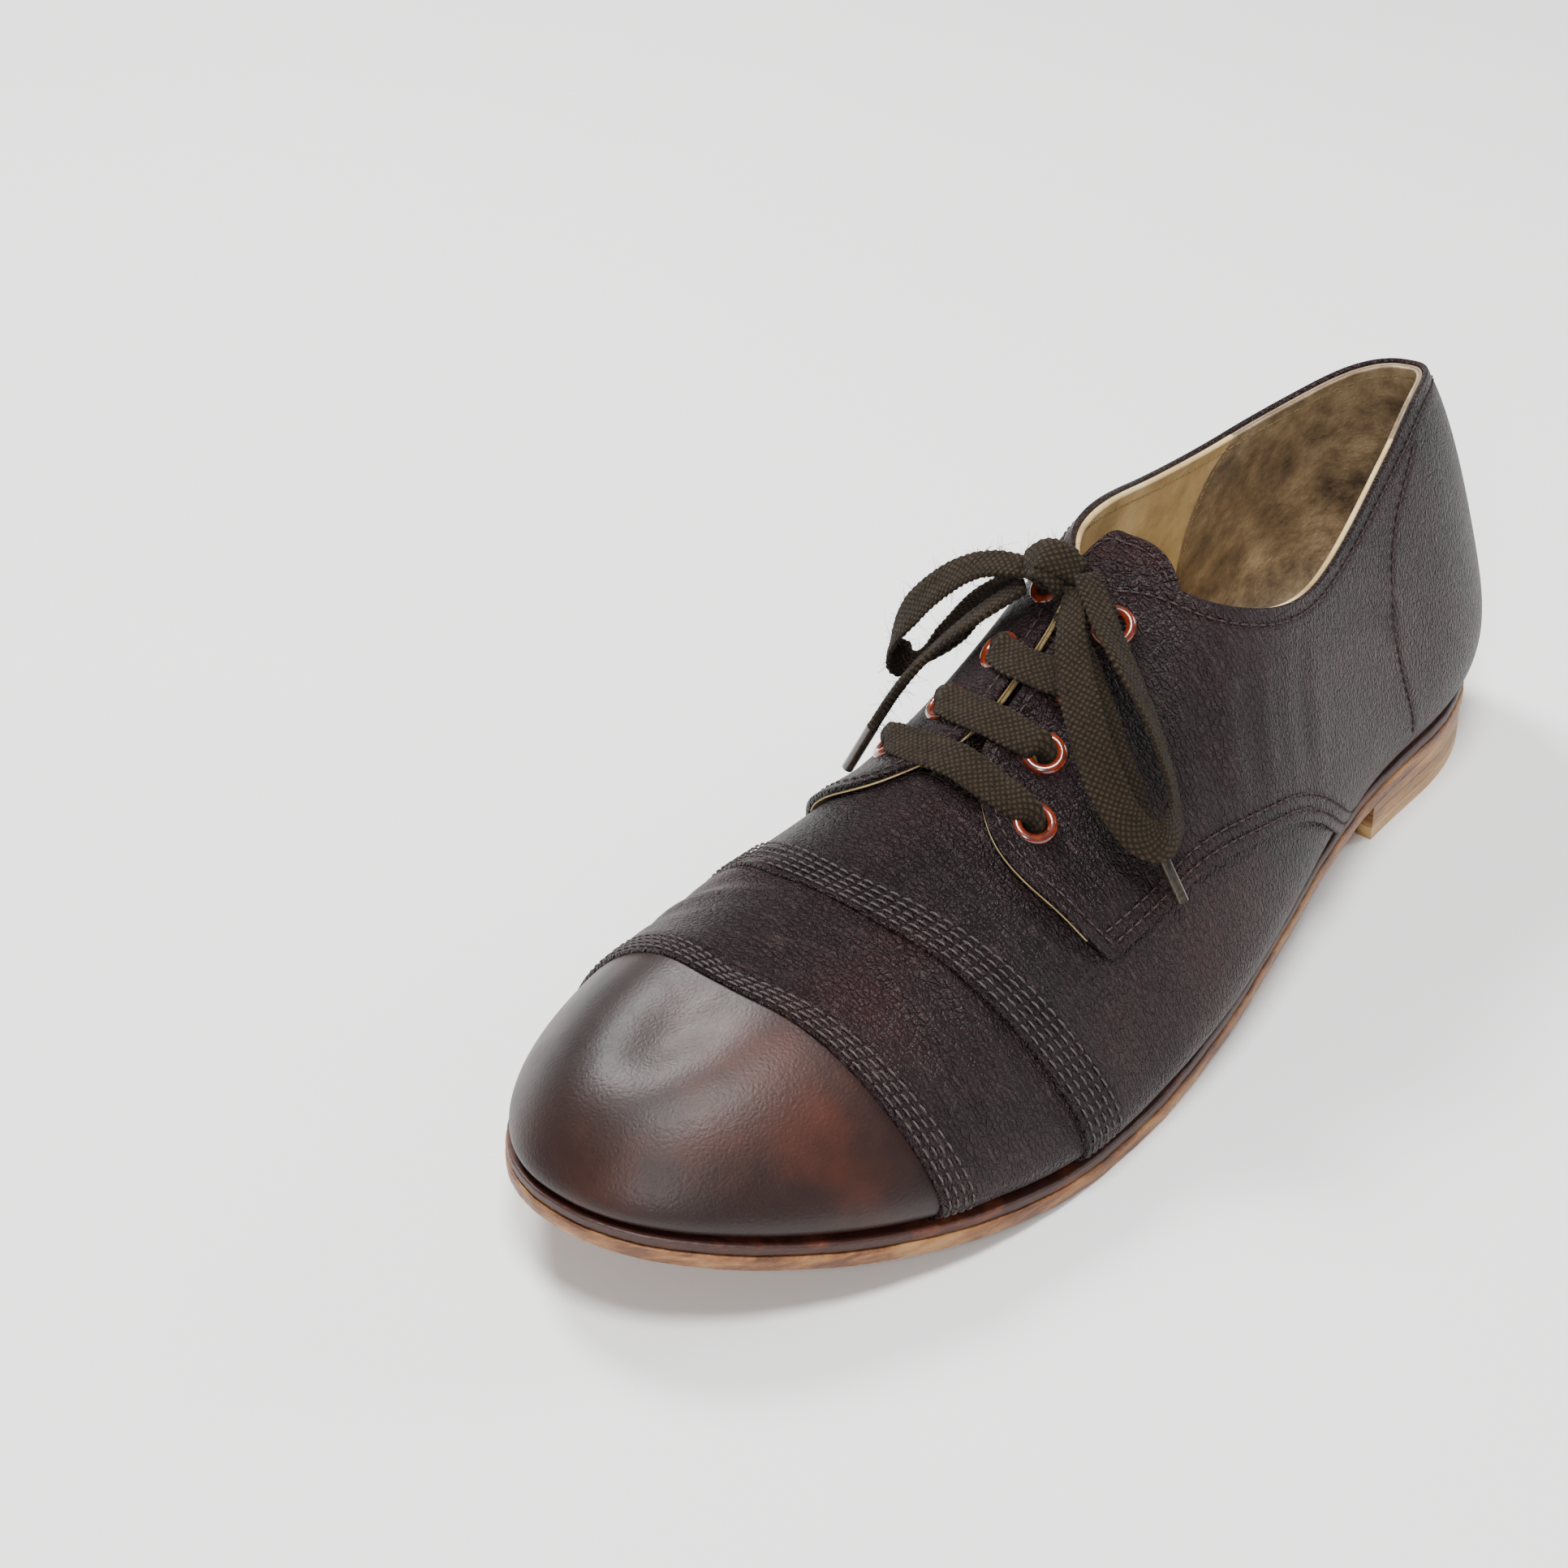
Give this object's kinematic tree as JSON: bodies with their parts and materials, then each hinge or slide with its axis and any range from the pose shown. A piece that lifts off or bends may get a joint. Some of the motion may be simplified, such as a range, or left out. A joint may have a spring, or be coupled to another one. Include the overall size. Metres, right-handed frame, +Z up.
{
  "type": "leather lace-up shoe",
  "caption": "Low lace-up leather shoe for the left foot with open lacing, stitched toe cap, flat laces tied in a bow and a low stacked heel.",
  "frame": {"origin": "centre of the footprint at ground level, laces' free ends left out", "axes": "+X towards the toe, +Y towards the outside of the left foot, +Z up"},
  "size_m": [0.2718, 0.097, 0.0886],
  "materials": {
    "upper_leather": "tumbled grain, waxed",
    "lining_leather": "smooth, unfinished",
    "backer_cloth": "plain woven",
    "stiffener": "pressed fibre",
    "grip_suede": "suede",
    "eyelet_enamel": "glossy enamel",
    "outsole_leather": "worn edge",
    "midsole_leather": "stained edge",
    "lift_leather": "stacked leather",
    "top_piece": "heel leather",
    "brass": "turned",
    "shank_steel": "rolled strip",
    "cork": "cork granules",
    "margin_leather": "flesh side",
    "insole_leather": "vegetable tanned",
    "sock_leather": "smooth sock leather",
    "aglet": "clear film over braid",
    "lace_cotton": "flat woven cotton"
  },
  "bodies": {
    "shoe": {"toe_cap": "upper_leather", "toe_puff": "stiffener", "toe_lining": "lining_leather", "middle_vamp": "upper_leather", "vamp": "upper_leather", "vamp_backer": "backer_cloth", "vamp_lining": "lining_leather", "heel_counter": "stiffener", "heel_grip": "grip_suede", "lateral_quarter": "upper_leather", "lateral_quarter_lining": "lining_leather", "lateral_eyelets": "eyelet_enamel", "medial_quarter": "upper_leather", "medial_quarter_lining": "lining_leather", "medial_eyelets": "eyelet_enamel", "outsole": "outsole_leather", "midsole": "midsole_leather", "top_piece": "top_piece", "lower_heel_lift": "lift_leather", "upper_heel_lift": "lift_leather", "heel_nails": "brass", "shank": "shank_steel", "cork_filler": "cork", "lasted_margin": "margin_leather", "insole": "insole_leather", "sock_lining": "sock_leather", "lace_row_1": "lace_cotton", "lace_row_2": "lace_cotton", "lace_row_3": "lace_cotton", "lace_knot": "lace_cotton", "lace_ends": "lace_cotton", "lace_inner_runs": "lace_cotton"},
    "tongue": {"tongue": "upper_leather"},
    "lateral_bow": {"lateral_loop": "lace_cotton", "lateral_tail": "lace_cotton", "lateral_aglet": "aglet"},
    "medial_bow": {"medial_loop": "lace_cotton", "medial_tail": "lace_cotton", "medial_aglet": "aglet"}
  },
  "joints": [
    {"name": "tongue_hinge", "type": "hinge", "parent": "shoe", "child": "tongue", "pos_m": [0.03561, 0, 0.04627], "axis": [0, -1, 0], "range_deg": [0, 12]},
    {"name": "lateral_bow_lift", "type": "hinge", "parent": "shoe", "child": "lateral_bow", "pos_m": [0.00039, -0.00429, 0.0838], "axis": [0.8412, 0, -0.5408], "range_deg": [0, 60]},
    {"name": "medial_bow_lift", "type": "hinge", "parent": "shoe", "child": "medial_bow", "pos_m": [0.00039, -0.00429, 0.0838], "axis": [-0.8412, 0, 0.5408], "range_deg": [0, 60]}
  ]
}
